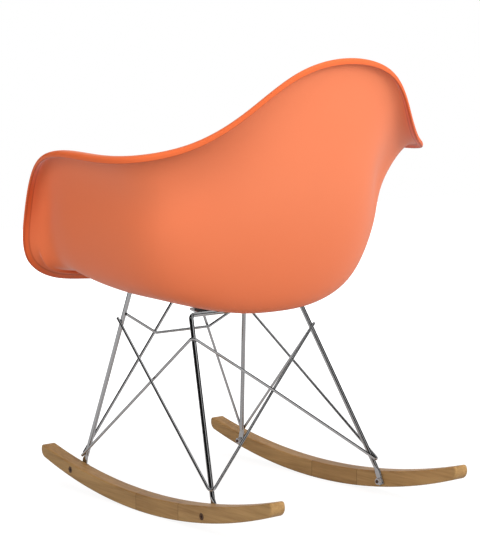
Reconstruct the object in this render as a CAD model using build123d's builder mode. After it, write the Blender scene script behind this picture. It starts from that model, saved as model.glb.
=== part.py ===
from build123d import *
import os
from math import asin, atan2, cos, degrees, pi, sin, tan

os.makedirs("parts", exist_ok=True)

# All sizes are in millimetres. The chair faces -Y, +X is the sitter's left, +Z is up.

# Wooden rockers: a bow on a circular underside, deepest at its low point
ROCKER_RADIUS = 1170.7
ROCKER_DEPTH = 29.6
ROCKER_END_DEPTH = 20.8
ROCKER_THICK = 27.2
ROCKER_INNER_X = 174.5
ROCKER_LOW_Y = -67.4
ROCKER_FRONT_Y = -348.8
ROCKER_REAR_Y = 345.9
ROCKER_END_LOW_R = 14.5
ROCKER_END_HIGH_R = 5.0
ROCKER_EDGE_R = 3.0
GLUE_FRONT_Y = -31.2
GLUE_REAR_Y = 93.6

# Bent wire base
LEG_R = 4.0
LEG_BEND_R = 8.3
BRACE_R = 2.5
BRACE_BEND_R = 6.2
WELD_GAP = 0.15
FOOT_Z = 41.6
FRONT_FOOT_X = 172.1
FRONT_FOOT_Y = -240.2
FRONT_CORNER_X = 122.3
FRONT_CORNER_Y = -163.6
FRONT_CORNER_Z = 353.6
REAR_FOOT_X = 174.5
REAR_FOOT_Y = 155.0
REAR_CORNER_X = 115.2
REAR_CORNER_Y = 7.7
REAR_CORNER_Z = 328.1
FRONT_FOOT = Vector(FRONT_FOOT_X, FRONT_FOOT_Y, FOOT_Z)
FRONT_CORNER = Vector(FRONT_CORNER_X, FRONT_CORNER_Y, FRONT_CORNER_Z)
REAR_FOOT = Vector(REAR_FOOT_X, REAR_FOOT_Y, FOOT_Z)
REAR_CORNER = Vector(REAR_CORNER_X, REAR_CORNER_Y, REAR_CORNER_Z)
# Heights where the wire braces are welded to the legs
FRONT_HIGH_Z = 295.4
FRONT_LOW_Z = 53.4
REAR_HIGH_Z = 291.7
REAR_LOW_Z = 59.8
BRACE_TAIL = 7.0
# Fineness of the search that seats a bend against a leg
BEND_PASSES = 12
BEND_SAMPLES = 12
# Front A-shaped brace and the bridge wire across it
APEX_FOOT_Z = 58.2
APEX_Y = -161.6
APEX_Z = 372.3
APEX = Vector(0, APEX_Y, APEX_Z)
APEX_BEND_R = 21.8
BRIDGE_LEG_Z = 309.9
BRIDGE_Z = 267.3
BRIDGE_TAIL = 1.0

# Flattened and drilled leg ends
PADDLE_THICK = 4.0
PADDLE_WIDTH = 13.0
FRONT_BOLT_Z = 27.0
REAR_BOLT_Z = 33.3
PADDLE_TOP_RISE = 15.6
NECK_RISE = 23.9

# Rocker bolts, one through each leg end
BOLT_R = 3.0
BOLT_HOLE_R = 3.3
BOLT_HEAD_R = 5.5
BOLT_HEAD_HEIGHT = 3.4
BOLT_SINK_R = 6.0
BOLT_SINK_DEPTH = 3.6
WASHER_R = 6.0
WASHER_THICK = 1.2
NUT_FLATS = 10.0
NUT_HEIGHT = 5.0
THREAD_GAP = 0.15
BOLT_OVERRUN = 1.0
RECESS_WIDTH = 1.3
RECESS_LENGTH = 6.0
RECESS_DEPTH = 1.6

# Rubber shock mounts between the base plates and the shell
MOUNT_X = 72.0
FRONT_MOUNT_SET = 25.0
REAR_MOUNT_SET = 24.0
PLATE_THICK = 2.5
PLATE_WIDTH = 38.0
PLATE_CORNER_R = 5.0
PLATE_TAIL = 18.0
PLATE_DROP = 1.5
RUBBER_R = 16.0
RUBBER_THICK = 6.0
RUBBER_EDGE = 1.0
BOSS_R = 17.5
BOSS_REACH = 20.0
INSERT_R = 6.0
INSERT_FLANGE_R = 8.5
INSERT_FLANGE = 1.5
INSERT_HEIGHT = 4.8
SEAT_GAP = 0.1
SCREW_HEAD_R = 5.25
SCREW_HEAD_HEIGHT = 3.3

# Moulded armchair shell
SHELL_THICK = 4.5
LIP_DROP = 4.2
LIP_THICK = 4.4
LIP_TUCK = 0.5
# Outermost edge of the turned-out rim, from the seat front round the left arm to the back top
RIM = [
    (0, -337, 349.4), (114.4, -331.8, 356), (213.2, -307.8, 375), (257.9, -288.1, 408),
    (276.6, -260, 481.5), (295.4, -188, 573), (309.9, -112.3, 595.9), (315.1, 5.2, 597),
    (294.3, 117.5, 600.1), (240.2, 171.6, 615.7), (169.5, 227.8, 664.6), (89.4, 271.4, 730.1),
    (0, 280.8, 748.8),
]
# Rim section at key stations: crest inset, crest rise, wall-top inset, wall-top drop
SECTIONS = {
    0: (20.8, 12.5, 43.7, -15.6),
    1: (20.8, 12.5, 43.7, -13.5),
    3: (18.7, 6.2, 30, 4),
    5: (17.7, 5.2, 36, 22),
    8: (18.7, 6.2, 56.2, 36.4),
    9: (17.7, 5.2, 54.1, 35.4),
    11: (11.4, 3.1, 31.2, 43.7),
    12: (10.4, 3.1, 27, 45.8),
}
# Rings of the bowl: centre y, half width, front and back reach, front and back squareness,
# heights at the front, the side and the back
SEAT_RING = (-46.8, 156, 135.2, 114.4, 2.3, 2.3, 369.2, 353.6, 332.8)
CREASE_RING = (-52, 222, 212, 173.7, 5, 2.6, 371.3, 395.2, 366.1)
# The same plan measures for the rim, which set where each station sits round the bowl
RIM_RING = (-31.2, 315.1, 305.8, 312, 3.6, 2.4)
# Flat underside of the bowl, an ellipse on the tilted seat plane
FLAT_Y = -41.6
FLAT_HALF_WIDTH = 78.0
FLAT_FRONT = 67.6
FLAT_BACK = 62.4
FLAT_Z = 342.8
FLAT_SLOPE = 0.167
# Where the wall stands between crease and wall top: share of the way out and of the way up,
# with a larger share out at the front corners
WALL_OUT = 0.6
WALL_CORNER_OUT = 0.8
WALL_UP = 0.5
# Direction from the rim crest through the wall: outward and downward share
CREST_OUT = 0.6
CREST_DOWN = 0.8

# Weights per cubic millimetre, used only to find the pose the chair settles in
STEEL = 7.85e-6
WOOD = 0.7e-6
PLASTIC = 1.1e-6
RUBBER = 1.2e-6

UP = Vector(0, 0, 1)


def leg_point(foot, corner, z):
    return foot + (corner - foot) * ((z - foot.Z) / (corner.Z - foot.Z))


def flip(point):
    return Vector(-point.X, point.Y, point.Z)


def unit_to(a, b):
    return (b - a).normalized()


def bent_line(points, radius):
    """Straight runs through the points, each inner corner rounded to the radius."""
    start = points[0]
    for before, corner, after in zip(points, points[1:], points[2:]):
        back = unit_to(corner, before)
        on = unit_to(corner, after)
        half = atan2(back.cross(on).length, back.dot(on)) / 2
        reach = radius / tan(half)
        middle = corner + (back + on).normalized() * (radius / sin(half) - radius)
        Line(start, corner + back * reach)
        ThreePointArc(corner + back * reach, middle, corner + on * reach)
        start = corner + on * reach
    Line(start, points[-1])


def wire_rod(label, points, radius, bend):
    with BuildPart() as rod:
        with BuildLine() as path:
            bent_line(points, bend)
        with BuildSketch(Plane(path.line @ 0, z_dir=path.line % 0)):
            Circle(radius)
        sweep(path=path.line)
    rod.part.label = label
    return rod.part


# Wooden rockers
def rocker_bow():
    front = asin((ROCKER_FRONT_Y - ROCKER_LOW_Y) / ROCKER_RADIUS)
    rear = asin((ROCKER_REAR_Y - ROCKER_LOW_Y) / ROCKER_RADIUS)

    def at(angle, rise):
        radius = ROCKER_RADIUS - rise
        return (ROCKER_LOW_Y + radius * sin(angle), ROCKER_RADIUS - radius * cos(angle))

    with BuildPart() as bow:
        with BuildSketch(Plane.YZ.offset(ROCKER_INNER_X)):
            with BuildLine():
                ThreePointArc(at(front, 0), at(0, 0), at(rear, 0))
                Line(at(rear, 0), at(rear, ROCKER_END_DEPTH))
                ThreePointArc(at(rear, ROCKER_END_DEPTH), at(0, ROCKER_DEPTH), at(front, ROCKER_END_DEPTH))
                Line(at(front, ROCKER_END_DEPTH), at(front, 0))
            make_face()
            for rise, radius in ((0, ROCKER_END_LOW_R), (ROCKER_END_DEPTH, ROCKER_END_HIGH_R)):
                tips = [vertices().sort_by_distance((*at(end, rise), 0))[0] for end in (front, rear)]
                fillet(tips, radius)
        extrude(amount=ROCKER_THICK)
        inner = bow.faces().sort_by(Axis.X)[0].edges()
        outer = bow.faces().sort_by(Axis.X)[-1].edges()
        fillet(inner + outer, ROCKER_EDGE_R)
        for bolt in bolt_points():
            with Locations(Plane(bolt, x_dir=(0, 1, 0), z_dir=(1, 0, 0))):
                Cylinder(BOLT_HOLE_R, 3 * ROCKER_THICK, mode=Mode.SUBTRACT)
            sunk = Vector(ROCKER_INNER_X + ROCKER_THICK - BOLT_SINK_DEPTH, bolt.Y, bolt.Z)
            with BuildSketch(Plane(sunk, x_dir=(0, 1, 0), z_dir=(1, 0, 0))):
                Circle(BOLT_SINK_R)
            extrude(amount=ROCKER_THICK, mode=Mode.SUBTRACT)
    return bow.part


def bolt_points():
    front = leg_point(FRONT_FOOT, FRONT_CORNER, FRONT_BOLT_Z)
    rear = leg_point(REAR_FOOT, REAR_CORNER, REAR_BOLT_Z)
    return [Vector(ROCKER_INNER_X, point.Y, point.Z) for point in (front, rear)]


def rocker_length(label, bow, cuts):
    with BuildPart() as length:
        add(bow)
        for y, keep in cuts:
            split(bisect_by=Plane((0, y, 0), z_dir=(0, 1, 0)), keep=keep)
    length.part.label = label
    return length.part


# Bent leg frames with flattened, drilled ends
def leg_frame(label, foot, corner, bolt_z):
    run = unit_to(foot, corner)
    bolt = leg_point(foot, corner, bolt_z)
    neck = leg_point(foot, corner, bolt_z + NECK_RISE)
    paddle_x = ROCKER_INNER_X - PADDLE_THICK / 2
    low = Vector(paddle_x, bolt.Y, bolt.Z)
    high = leg_point(foot, corner, bolt_z + PADDLE_TOP_RISE)
    high = Vector(paddle_x, high.Y, high.Z)
    blade = unit_to(low, high)
    with BuildPart() as frame:
        with BuildLine() as path:
            bent_line([neck, corner, flip(corner), flip(neck)], LEG_BEND_R)
        with BuildSketch(Plane(path.line @ 0, z_dir=path.line % 0)):
            Circle(LEG_R)
        sweep(path=path.line)
    with BuildPart() as foot_end:
        with BuildSketch(Plane(high, x_dir=(1, 0, 0), z_dir=blade)):
            RectangleRounded(PADDLE_THICK, PADDLE_WIDTH, PADDLE_THICK * 0.45)
        with BuildSketch(Plane(neck, x_dir=(1, 0, 0), z_dir=run)):
            Circle(LEG_R)
        loft()
        with BuildSketch(Plane(high, x_dir=(1, 0, 0), z_dir=blade)):
            RectangleRounded(PADDLE_THICK, PADDLE_WIDTH, PADDLE_THICK * 0.45)
        extrude(amount=-(high - low).length - PADDLE_WIDTH / 2)
        with BuildSketch(Plane(low - Vector(PADDLE_THICK, 0, 0), x_dir=(0, 1, 0), z_dir=(1, 0, 0))):
            Circle(BOLT_HOLE_R)
        extrude(amount=2 * PADDLE_THICK, mode=Mode.SUBTRACT)
    with BuildPart() as whole:
        add(frame.part)
        add(foot_end.part)
        add(mirror(foot_end.part, about=Plane.YZ, mode=Mode.PRIVATE))
    whole.part.label = label
    return whole.part


# Wire braces that wrap round the outside of the legs
def clear_of(run, along, outward):
    """Offset from a leg's centre line to a wire lying against it on the outward side."""
    square = run.cross(along).normalized()
    square = square if square.dot(outward) > 0 else -square
    return square


def pushed_clear(before, corner, after, bend, centre, run, reach, away):
    """A corner moved along a direction until its rounded bend just clears a rod's centre line."""
    for _ in range(BEND_PASSES):
        back = unit_to(corner, before)
        on = unit_to(corner, after)
        half = atan2(back.cross(on).length, back.dot(on)) / 2
        inner = (back + on).normalized()
        sideways = (on - back).normalized()
        hub = corner + inner * (bend / sin(half))
        swing = pi / 2 - half
        turns = [swing * step / BEND_SAMPLES for step in range(-BEND_SAMPLES, BEND_SAMPLES + 1)]
        bow = [hub + (sideways * sin(turn) - inner * cos(turn)) * bend for turn in turns]
        near = min((point - centre).cross(run).length for point in bow)
        corner = corner + away * max(reach - near, 0)
    return corner


def brace_points(bow):
    """Corners of one wrap brace: front leg top, rear leg foot, far rear leg top, far front foot."""
    reach = LEG_R + BRACE_R + WELD_GAP
    left = Vector(1, 0, 0)
    rear = Vector(0, 1, 0)
    front_run = unit_to(FRONT_FOOT, FRONT_CORNER)
    rear_run = unit_to(REAR_FOOT, REAR_CORNER)
    runs = [front_run, rear_run, flip(rear_run), flip(front_run)]
    on_leg = [
        leg_point(FRONT_FOOT, FRONT_CORNER, FRONT_HIGH_Z),
        leg_point(REAR_FOOT, REAR_CORNER, REAR_LOW_Z),
        flip(leg_point(REAR_FOOT, REAR_CORNER, REAR_HIGH_Z)),
        flip(leg_point(FRONT_FOOT, FRONT_CORNER, FRONT_LOW_Z)),
    ]
    outs = [left, rear, -left]
    points = list(on_leg)
    for _ in range(4):
        along = [unit_to(a, b) for a, b in zip(points, points[1:])]
        first = on_leg[0] + clear_of(runs[0], along[0], left) * reach
        last = on_leg[3] + clear_of(runs[3], along[2], -left) * reach
        wraps = []
        for index in (1, 2):
            one = clear_of(runs[index], along[index - 1], outs[index - 1])
            two = clear_of(runs[index], along[index], outs[index])
            wrap = on_leg[index] + (one + two) * (reach / (1 + one.dot(two)))
            before, after = points[index - 1], points[index + 1]
            away = (one + two).normalized()
            seat = (BRACE_BEND_R, on_leg[index], runs[index], reach, away)
            wraps.append(pushed_clear(before, wrap, after, *seat))
        points = [first, *wraps, last]
    first, second, third, last = points
    over = clear_of(unit_to(second, third), unit_to(flip(second), flip(third)), rear)
    middle = second + (third - second) * (second.X / (second.X - third.X)) + over * bow
    first = first + unit_to(second, first) * BRACE_TAIL
    last = last + unit_to(third, last) * BRACE_TAIL
    return [first, second, middle, third, last]


def apex_points():
    leg = leg_point(FRONT_FOOT, FRONT_CORNER, APEX_FOOT_Z)
    run = unit_to(FRONT_FOOT, FRONT_CORNER)
    start = leg + clear_of(run, unit_to(leg, APEX), Vector(0, -1, 0)) * (LEG_R + BRACE_R + WELD_GAP)
    start = start + unit_to(APEX, start) * BRACE_TAIL
    bar = Vector(0, FRONT_CORNER.Y, FRONT_CORNER.Z)
    reach = LEG_R + BRACE_R + WELD_GAP
    seat = (APEX_BEND_R, bar, Vector(1, 0, 0), reach, Vector(0, -1, 0))
    apex = pushed_clear(start, APEX, flip(start), *seat)
    return [start, apex, flip(start)]


def bridge_points():
    start, apex, _ = apex_points()
    cross = start + (apex - start) * ((BRIDGE_Z - start.Z) / (apex.Z - start.Z))
    leg = leg_point(FRONT_FOOT, FRONT_CORNER, BRIDGE_LEG_Z)
    run = unit_to(FRONT_FOOT, FRONT_CORNER)
    rear = Vector(0, 1, 0)
    knee = cross + clear_of(unit_to(start, apex), Vector(1, 0, 0), rear) * (2 * BRACE_R + WELD_GAP)
    end = leg + clear_of(run, unit_to(knee, leg), rear) * (LEG_R + BRACE_R + WELD_GAP)
    end = end + unit_to(knee, end) * BRIDGE_TAIL
    return [end, knee, flip(knee), flip(end)]


# Mount plane: tilted so that it holds both crossbars
MOUNT_TILT = (FRONT_CORNER.Z - REAR_CORNER.Z) / (REAR_CORNER.Y - FRONT_CORNER.Y)
MOUNT_NORMAL = Vector(0, MOUNT_TILT, 1).normalized()
MOUNT_BACK = Vector(0, 1, -MOUNT_TILT).normalized()


def mount_plane(x, crossbar, inset, rise):
    origin = Vector(x, crossbar.Y, crossbar.Z) + MOUNT_BACK * inset + MOUNT_NORMAL * rise
    return Plane(origin, x_dir=(1, 0, 0), z_dir=MOUNT_NORMAL)


MOUNTS = {
    "left_front": (MOUNT_X, FRONT_CORNER, FRONT_MOUNT_SET),
    "right_front": (-MOUNT_X, FRONT_CORNER, FRONT_MOUNT_SET),
    "left_rear": (MOUNT_X, REAR_CORNER, -REAR_MOUNT_SET),
    "right_rear": (-MOUNT_X, REAR_CORNER, -REAR_MOUNT_SET),
}


def mount_plate(label, x, crossbar, inset):
    toward = 1 if inset > 0 else -1
    near = toward * (LEG_R + WELD_GAP) - inset
    far = toward * PLATE_TAIL
    with BuildPart() as plate:
        with BuildSketch(mount_plane(x, crossbar, inset, -PLATE_DROP)):
            with Locations((0, (near + far) / 2)):
                Rectangle(PLATE_WIDTH, abs(far - near))
            fillet(vertices(), PLATE_CORNER_R)
            Circle(BOLT_HOLE_R, mode=Mode.SUBTRACT)
        extrude(amount=-PLATE_THICK)
    plate.part.label = label
    return plate.part


def rubber_mount(label, x, crossbar, inset):
    base = mount_plane(x, crossbar, inset, -PLATE_DROP)
    with BuildPart() as rubber:
        with BuildSketch(base):
            Circle(RUBBER_R)
        extrude(amount=RUBBER_THICK)
        chamfer(rubber.edges().filter_by(GeomType.CIRCLE), RUBBER_EDGE)
        with BuildSketch(base):
            Circle(INSERT_FLANGE_R + SEAT_GAP)
        extrude(amount=INSERT_FLANGE + SEAT_GAP, mode=Mode.SUBTRACT)
        with BuildSketch(base):
            Circle(INSERT_R + SEAT_GAP)
        extrude(amount=INSERT_HEIGHT + SEAT_GAP, mode=Mode.SUBTRACT)
    rubber.part.label = label
    return rubber.part


def mount_inserts():
    with BuildPart() as inserts:
        for mount in MOUNTS.values():
            base = mount_plane(*mount, -PLATE_DROP)
            with BuildSketch(base):
                Circle(INSERT_FLANGE_R)
                Circle(BOLT_R + THREAD_GAP, mode=Mode.SUBTRACT)
            extrude(amount=INSERT_FLANGE)
            with BuildSketch(base):
                Circle(INSERT_R)
                Circle(BOLT_R + THREAD_GAP, mode=Mode.SUBTRACT)
            extrude(amount=INSERT_HEIGHT)
    inserts.part.label = "mount_inserts"
    return inserts.part


def mount_washers():
    with BuildPart() as washers:
        for mount in MOUNTS.values():
            with BuildSketch(mount_plane(*mount, -PLATE_DROP - PLATE_THICK)):
                Circle(WASHER_R)
                Circle(BOLT_HOLE_R, mode=Mode.SUBTRACT)
            extrude(amount=-WASHER_THICK)
    washers.part.label = "mount_washers"
    return washers.part


def mount_screws():
    under = PLATE_DROP + PLATE_THICK + WASHER_THICK
    with BuildPart() as screws:
        for mount in MOUNTS.values():
            seat = mount_plane(*mount, -under)
            with BuildSketch(seat):
                Circle(BOLT_R)
            extrude(amount=under - PLATE_DROP + INSERT_HEIGHT)
            with BuildSketch(seat):
                Circle(SCREW_HEAD_R)
            extrude(amount=-SCREW_HEAD_HEIGHT)
            with BuildSketch(seat.offset(-SCREW_HEAD_HEIGHT)):
                Rectangle(RECESS_LENGTH, RECESS_WIDTH)
                Rectangle(RECESS_WIDTH, RECESS_LENGTH)
            extrude(amount=RECESS_DEPTH, mode=Mode.SUBTRACT)
    screws.part.label = "mount_screws"
    return screws.part


# Rocker fastenings: a sunk bolt outside, a washer and a nut inside each leg end
def both_sides(label, left):
    with BuildPart() as pair:
        add(left)
        add(mirror(left, about=Plane.YZ, mode=Mode.PRIVATE))
    pair.part.label = label
    return pair.part


def cross_plane(x, bolt):
    return Plane((x, bolt.Y, bolt.Z), x_dir=(0, 1, 0), z_dir=(1, 0, 0))


def rocker_bolts():
    seat_x = ROCKER_INNER_X + ROCKER_THICK - BOLT_SINK_DEPTH
    tip_x = ROCKER_INNER_X - PADDLE_THICK - WASHER_THICK - NUT_HEIGHT - BOLT_OVERRUN
    with BuildPart() as bolts:
        for bolt in bolt_points():
            with BuildSketch(cross_plane(tip_x, bolt)):
                Circle(BOLT_R)
            extrude(amount=seat_x - tip_x)
            with BuildSketch(cross_plane(seat_x, bolt)):
                Circle(BOLT_HEAD_R)
            extrude(amount=BOLT_HEAD_HEIGHT)
            with BuildSketch(cross_plane(seat_x + BOLT_HEAD_HEIGHT, bolt)):
                Rectangle(RECESS_LENGTH, RECESS_WIDTH)
                Rectangle(RECESS_WIDTH, RECESS_LENGTH)
            extrude(amount=-RECESS_DEPTH, mode=Mode.SUBTRACT)
    return both_sides("rocker_bolts", bolts.part)


def rocker_washers():
    with BuildPart() as washers:
        for bolt in bolt_points():
            with BuildSketch(cross_plane(ROCKER_INNER_X - PADDLE_THICK, bolt)):
                Circle(WASHER_R)
                Circle(BOLT_HOLE_R, mode=Mode.SUBTRACT)
            extrude(amount=-WASHER_THICK)
    return both_sides("rocker_washers", washers.part)


def rocker_nuts():
    with BuildPart() as nuts:
        for bolt in bolt_points():
            with BuildSketch(cross_plane(ROCKER_INNER_X - PADDLE_THICK - WASHER_THICK, bolt)):
                RegularPolygon(NUT_FLATS / 2, 6, major_radius=False)
                Circle(BOLT_R + THREAD_GAP, mode=Mode.SUBTRACT)
            extrude(amount=-NUT_HEIGHT)
    return both_sides("rocker_nuts", nuts.part)


# Armchair shell: rings of stations from the flat underside up to the lip and down the inside
STATIONS = [Vector(*point) for point in RIM]


def station_angle(point):
    centre, wide, front, back, front_square, back_square = RIM_RING
    y = point.Y - centre
    reach, square = (front, front_square) if y < 0 else (back, back_square)
    across = abs(point.X / wide) ** (square / 2)
    along = abs(y / reach) ** (square / 2)
    return atan2(across, along if y < 0 else -along)


def bowl_ring(centre, wide, front, back, front_square, back_square, front_z, side_z, back_z):
    points = []
    for angle in map(station_angle, STATIONS):
        lean = cos(angle)
        ahead = lean > 0
        square = front_square if ahead else back_square
        along = abs(lean) ** (2 / square)
        x = wide * abs(sin(angle)) ** (2 / square)
        y = centre - front * along if ahead else centre + back * along
        z = side_z + ((front_z if ahead else back_z) - side_z) * lean**2
        points.append(Vector(x, y, z))
    return points


def flat_ring():
    points = []
    for angle in map(station_angle, STATIONS):
        reach = FLAT_FRONT if cos(angle) > 0 else FLAT_BACK
        y = FLAT_Y - reach * cos(angle)
        points.append(Vector(FLAT_HALF_WIDTH * sin(angle), y, FLAT_Z - FLAT_SLOPE * (y - FLAT_Y)))
    return points


def rim_section(index):
    keys = sorted(SECTIONS)
    low = max(key for key in keys if key <= index)
    high = min(key for key in keys if key >= index)
    share = (index - low) / (high - low) if high > low else 0
    return [a + (b - a) * share for a, b in zip(SECTIONS[low], SECTIONS[high])]


def neighbours(half, index):
    before = half[index - 1] if index > 0 else flip(half[1])
    after = half[index + 1] if index + 1 < len(half) else flip(half[index - 1])
    return before, after


def inward(ring, below, above):
    """Each point of a half ring moved through the wall, square to the surface."""
    moved = []
    for index, point in enumerate(ring):
        before, after = neighbours(ring, index)
        square = (above[index] - below[index]).cross(after - before).normalized()
        moved.append(point + square * SHELL_THICK)
    return moved


def shell_rings():
    """Half rings of the outside and of the upper side, each from the bottom to the lip."""
    crest, under, wall_top, lip_out, lip_in = [], [], [], [], []
    for index, rim in enumerate(STATIONS):
        before, after = neighbours(STATIONS, index)
        out = Vector(after.Y - before.Y, before.X - after.X, 0).normalized()
        crest_in, crest_up, top_in, top_down = rim_section(index)
        crest.append(rim - out * crest_in + UP * crest_up)
        under.append(crest[-1] + (out * CREST_OUT - UP * CREST_DOWN) * SHELL_THICK)
        wall_top.append(rim - out * top_in - UP * top_down)
        lip_out.append(rim - out * LIP_TUCK - UP * LIP_DROP)
        lip_in.append(lip_out[-1] - out * LIP_THICK)
    crease = bowl_ring(*CREASE_RING)
    wall = []
    for rim, low, high in zip(STATIONS, crease, wall_top):
        step = high - low
        out = WALL_OUT + (WALL_CORNER_OUT - WALL_OUT) * max(sin(2 * station_angle(rim)), 0)
        wall.append(low + Vector(step.X * out, step.Y * out, step.Z * WALL_UP))
    outside = [flat_ring(), bowl_ring(*SEAT_RING), crease, wall, wall_top, under, lip_in]
    above = outside[2:5] + [crest]
    inside = [inward(ring, low, high) for low, ring, high in zip(outside, outside[1:5], above)]
    through = Vector(0, FLAT_SLOPE, 1).normalized() * SHELL_THICK
    floor = [point + through for point in outside[0]]
    return outside, [floor] + inside + [crest, STATIONS, lip_out]


def network_face(rings):
    across = [Vector(1, 0, 0), Vector(-1, 0, 0)]
    rounds = [Edge.make_spline(ring, tangents=across, scale=False) for ring in rings]
    ribs = [Edge.make_spline([ring[index] for ring in rings]) for index in range(len(STATIONS))]
    return Face.make_gordon_surface(rounds, ribs)


def face_rounds(face):
    """Lowest round and lip round of a half-shell face."""
    rounds = [edge for edge in face.edges() if edge.bounding_box().max.X > SHELL_THICK]
    return sorted(rounds, key=lambda edge: edge.bounding_box().max.Z)


def shell_body():
    outer, upper = [network_face(rings) for rings in shell_rings()]
    outer_low, outer_lip = face_rounds(outer)
    upper_low, upper_lip = face_rounds(upper)
    half = [outer, upper, Face.make_surface_from_curves(outer_lip, upper_lip)]
    flats = [Face(Wire([low, low.mirror(Plane.YZ)])) for low in (outer_low, upper_low)]
    return Solid(Shell(half + [face.mirror(Plane.YZ) for face in half] + flats))


def mount_boss(body, mount):
    foot = mount_plane(*mount, RUBBER_THICK - PLATE_DROP)
    with BuildPart() as boss:
        with BuildSketch(foot):
            Circle(BOSS_R)
        extrude(amount=BOSS_REACH)
        add(body, mode=Mode.SUBTRACT)
    return boss.solids().sort_by_distance(foot.origin)[0]


def seat_shell():
    body = shell_body()
    bosses = [mount_boss(body, mount) for mount in MOUNTS.values()]
    with BuildPart() as shell:
        add(body)
        add(bosses)
    shell.part.label = "seat_shell"
    return shell.part


# Every piece with its weight per cubic millimetre
pieces = [(seat_shell(), PLASTIC)]
bow = rocker_bow()
LENGTHS = {
    "front": [(GLUE_FRONT_Y, Keep.BOTTOM)],
    "middle": [(GLUE_FRONT_Y, Keep.TOP), (GLUE_REAR_Y, Keep.BOTTOM)],
    "rear": [(GLUE_REAR_Y, Keep.TOP)],
}
for place, cuts in LENGTHS.items():
    left = rocker_length(f"left_rocker_{place}", bow, cuts)
    right = mirror(left, about=Plane.YZ)
    right.label = f"right_rocker_{place}"
    pieces += [(left, WOOD), (right, WOOD)]
for made in (
    leg_frame("front_leg_frame", FRONT_FOOT, FRONT_CORNER, FRONT_BOLT_Z),
    leg_frame("rear_leg_frame", REAR_FOOT, REAR_CORNER, REAR_BOLT_Z),
    wire_rod("left_wrap_brace", brace_points(-BRACE_R - WELD_GAP), BRACE_R, BRACE_BEND_R),
    wire_rod(
        "right_wrap_brace",
        [flip(point) for point in brace_points(BRACE_R + WELD_GAP)],
        BRACE_R,
        BRACE_BEND_R,
    ),
    wire_rod("front_apex_brace", apex_points(), BRACE_R, APEX_BEND_R),
    wire_rod("front_bridge_brace", bridge_points(), BRACE_R, BRACE_BEND_R),
    mount_inserts(),
    mount_washers(),
    mount_screws(),
    rocker_bolts(),
    rocker_washers(),
    rocker_nuts(),
):
    pieces.append((made, STEEL))
for place, mount in MOUNTS.items():
    pieces.append((mount_plate(f"{place}_mount_plate", *mount), STEEL))
    pieces.append((rubber_mount(f"{place}_rubber_mount", *mount), RUBBER))

# The chair rolls on its rockers until its weight hangs straight below the centre of their arc
total = sum(part.volume * weight for part, weight in pieces)
balance = sum((part.center(CenterOf.MASS) * (part.volume * weight) for part, weight in pieces), Vector())
balance = balance / total
lean = -degrees(atan2(balance.Y - ROCKER_LOW_Y, ROCKER_RADIUS - balance.Z))
roll_axis = Axis((0, ROCKER_LOW_Y, ROCKER_RADIUS), (1, 0, 0))
settled = [part.rotate(roll_axis, lean) for part, _ in pieces]
boxes = [part.bounding_box() for part in settled]
front_y = min(box.min.Y for box in boxes)
rear_y = max(box.max.Y for box in boxes)
floor_z = min(box.min.Z for box in boxes)
shift = Location((0, -(front_y + rear_y) / 2, -floor_z))
for (part, _), rolled in zip(pieces, settled):
    placed = rolled.moved(shift)
    placed.label = part.label
    export_step(placed, f"parts/{part.label}.step")
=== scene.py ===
"""Looks of a shell rocking chair: satin moulded seat, chromed wire base and lacquered wooden rockers."""

import logging
import math
from dataclasses import dataclass
from enum import Enum
from typing import Dict, List, Optional, Sequence, Tuple, Union

import bpy
import numpy as np
from mathutils import Matrix, Vector


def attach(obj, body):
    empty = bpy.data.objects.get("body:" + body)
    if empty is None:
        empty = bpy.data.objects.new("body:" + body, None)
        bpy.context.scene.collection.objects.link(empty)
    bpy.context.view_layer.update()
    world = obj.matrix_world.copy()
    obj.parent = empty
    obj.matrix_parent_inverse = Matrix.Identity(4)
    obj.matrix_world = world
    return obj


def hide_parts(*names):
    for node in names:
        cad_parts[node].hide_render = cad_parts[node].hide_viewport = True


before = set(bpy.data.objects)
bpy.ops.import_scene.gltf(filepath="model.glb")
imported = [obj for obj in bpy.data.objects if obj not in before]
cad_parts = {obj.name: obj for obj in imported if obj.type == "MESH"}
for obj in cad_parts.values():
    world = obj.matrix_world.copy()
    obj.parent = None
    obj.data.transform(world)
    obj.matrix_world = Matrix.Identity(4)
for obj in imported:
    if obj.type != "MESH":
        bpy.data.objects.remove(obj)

LOG = logging.getLogger("rocking_chair")
MM = 0.001
# Sockets of the Mix node in its colour form
MIX_COLOURS = (6, 7)
MIX_RESULT = 2
NOISE_MIDDLE = 0.5

Number = Union[float, int]
Colour = Tuple[float, float, float]


class Slot(str, Enum):
    """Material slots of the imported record."""

    SHELL = "shell_plastic"
    WOOD = "rocker_wood"
    WIRE = "chromed_wire"
    PLATE = "plate_steel"
    RUBBER = "mount_rubber"
    FASTENER = "fastener_steel"


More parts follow.
